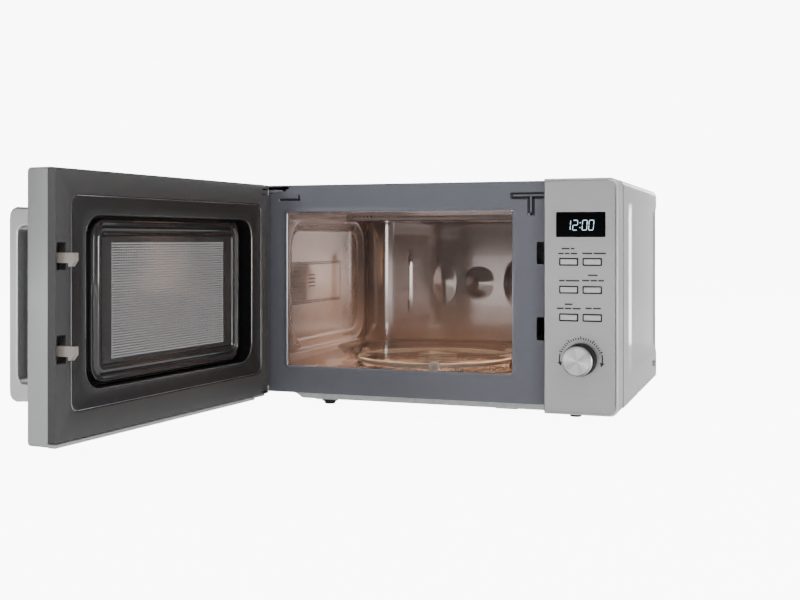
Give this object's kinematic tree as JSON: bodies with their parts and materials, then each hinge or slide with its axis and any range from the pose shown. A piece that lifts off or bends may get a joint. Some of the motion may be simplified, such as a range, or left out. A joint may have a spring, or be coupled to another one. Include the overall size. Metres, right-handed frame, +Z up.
{
  "type": "microwave oven",
  "caption": "Countertop microwave oven with grill: side-hinged door held open, glass turntable on a roller ring, and a control panel with display, keys and a rotary knob.",
  "frame": {"origin": "middle of the footprint, door open, on the surface the feet stand on", "axes": "+X to the right seen from the front, +Y to the back of the oven, +Z up"},
  "size_m": [0.502, 0.6814, 0.258],
  "materials": {
    "casing_paint": "silver lacquer, satin",
    "plate_paint": "blue-grey enamel, satin",
    "cavity_enamel": "grey enamel, semi-gloss",
    "zinc_steel": "zinc plated",
    "brushed_steel": "brushed, satin",
    "silver_plastic": "silver, satin",
    "dark_plastic": "moulded, satin",
    "black_plastic": "moulded, satin",
    "white_plastic": "moulded, satin",
    "screen_paint": "grey lacquer, satin",
    "smoked_glass": "smoked, glossy",
    "clear_glass": "clear, polished",
    "clear_film": "clear film",
    "mica": "pressed mica sheet",
    "quartz": "milky quartz tube",
    "copper": "enamelled copper wire",
    "lamination": "varnished steel laminations",
    "aluminium": "satin",
    "circuit_board": "solder mask",
    "rubber": "soft, matt"
  },
  "bodies": {
    "oven": {"base_plate": "casing_paint", "capacitor": "aluminium", "casing_screw_left": "zinc_steel", "casing_screw_right": "zinc_steel", "cavity_back": "cavity_enamel", "cavity_ceiling": "cavity_enamel", "cavity_lamp": "clear_glass", "cavity_wrapper": "cavity_enamel", "control_board": "circuit_board", "control_panel_bezel": "silver_plastic", "control_panel_face": "brushed_steel", "cord_gland": "black_plastic", "display_window": "smoked_glass", "fan_motor": "lamination", "fan_shroud": "black_plastic", "foot_front_left": "rubber", "foot_front_right": "rubber", "foot_rear_left": "rubber", "foot_rear_right": "rubber", "front_plate": "plate_paint", "grill_guard": "cavity_enamel", "grill_heater": "quartz", "grill_reflector": "aluminium", "interlock_bracket": "white_plastic", "lower_hinge_bracket": "zinc_steel", "lower_hinge_pin": "zinc_steel", "magnetron_tube": "aluminium", "magnetron_yoke": "zinc_steel", "outer_casing": "casing_paint", "rear_panel": "zinc_steel", "transformer_core": "lamination", "transformer_windings": "copper", "turntable_motor": "zinc_steel", "upper_hinge_bracket": "zinc_steel", "upper_hinge_pin": "zinc_steel", "waveguide": "zinc_steel", "waveguide_cover": "mica"},
    "door": {"door_bezel": "silver_plastic", "door_chassis": "screen_paint", "door_handle": "brushed_steel", "door_inner_film": "clear_film", "door_inner_frame": "dark_plastic", "door_outer_glass": "smoked_glass", "latch_spring": "zinc_steel"},
    "latch": {"door_latch": "white_plastic"},
    "knob": {"knob_grip": "black_plastic", "knob_cap": "aluminium"},
    "turntable": {"glass_tray": "clear_glass", "drive_coupler": "white_plastic"},
    "ring": {"roller_ring": "white_plastic"},
    "wheel_1": {"roller_wheel_1": "white_plastic"},
    "wheel_2": {"roller_wheel_2": "white_plastic"},
    "wheel_3": {"roller_wheel_3": "white_plastic"},
    "fan": {"fan_blade": "dark_plastic"},
    "key_top_left": {"button_top_left": "silver_plastic"},
    "key_top_right": {"button_top_right": "silver_plastic"},
    "key_middle_left": {"button_middle_left": "silver_plastic"},
    "key_middle_right": {"button_middle_right": "silver_plastic"},
    "key_bottom_left": {"button_bottom_left": "silver_plastic"},
    "key_bottom_right": {"button_bottom_right": "silver_plastic"}
  },
  "joints": [
    {"name": "door_hinge", "type": "hinge", "parent": "oven", "child": "door", "pos_m": [-0.17591, 0.00644, 0.1355], "axis": [0, 0, -1], "range_deg": [-95, 5]},
    {"name": "latch_slide", "type": "slide", "parent": "door", "child": "latch", "axis": [0, 0, 1], "range_m": [0, 0.004], "stiffness_N_per_m": 300, "springref_m": -0.002, "deforming": ["latch_spring"]},
    {"name": "knob_spin", "type": "hinge", "parent": "oven", "child": "knob", "pos_m": [0.21079, -0.00376, 0.0708], "axis": [0, -1, 0], "continuous": true},
    {"name": "turntable_spin", "type": "hinge", "parent": "oven", "child": "turntable", "pos_m": [-0.00391, 0.18024, 0.0536], "axis": [0, 0, 1], "continuous": true},
    {"name": "ring_spin", "type": "hinge", "parent": "oven", "child": "ring", "pos_m": [-0.00391, 0.18024, 0.0473], "axis": [0, 0, 1], "continuous": true},
    {"name": "fan_spin", "type": "hinge", "parent": "oven", "child": "fan", "pos_m": [0.19209, 0.29824, 0.175], "axis": [0, 1, 0], "continuous": true},
    {"name": "wheel_1_spin", "type": "hinge", "parent": "ring", "child": "wheel_1", "pos_m": [0.02572, 0.07691, 0.0473], "axis": [0.2756, -0.9613, 0], "continuous": true},
    {"name": "wheel_2_spin", "type": "hinge", "parent": "ring", "child": "wheel_2", "pos_m": [0.07077, 0.25757, 0.0473], "axis": [0.6947, 0.7193, 0], "continuous": true},
    {"name": "wheel_3_spin", "type": "hinge", "parent": "ring", "child": "wheel_3", "pos_m": [-0.10822, 0.20625, 0.0473], "axis": [-0.9703, 0.2419, 0], "continuous": true},
    {"name": "key_top_left_press", "type": "slide", "parent": "oven", "child": "key_top_left", "axis": [0, 1, 0], "range_m": [0, 0.0012], "stiffness_N_per_m": 500, "springref_m": -0.0006},
    {"name": "key_top_right_press", "type": "slide", "parent": "oven", "child": "key_top_right", "axis": [0, 1, 0], "range_m": [0, 0.0012], "stiffness_N_per_m": 500, "springref_m": -0.0006},
    {"name": "key_middle_left_press", "type": "slide", "parent": "oven", "child": "key_middle_left", "axis": [0, 1, 0], "range_m": [0, 0.0012], "stiffness_N_per_m": 500, "springref_m": -0.0006},
    {"name": "key_middle_right_press", "type": "slide", "parent": "oven", "child": "key_middle_right", "axis": [0, 1, 0], "range_m": [0, 0.0012], "stiffness_N_per_m": 500, "springref_m": -0.0006},
    {"name": "key_bottom_left_press", "type": "slide", "parent": "oven", "child": "key_bottom_left", "axis": [0, 1, 0], "range_m": [0, 0.0012], "stiffness_N_per_m": 500, "springref_m": -0.0006},
    {"name": "key_bottom_right_press", "type": "slide", "parent": "oven", "child": "key_bottom_right", "axis": [0, 1, 0], "range_m": [0, 0.0012], "stiffness_N_per_m": 500, "springref_m": -0.0006}
  ],
  "couplings": [
    {"joint": "ring_spin", "follows": "turntable_spin", "ratio": 0.5},
    {"joint": "wheel_1_spin", "follows": "turntable_spin", "ratio": -8.9583},
    {"joint": "wheel_2_spin", "follows": "turntable_spin", "ratio": -8.9583},
    {"joint": "wheel_3_spin", "follows": "turntable_spin", "ratio": -8.9583}
  ]
}
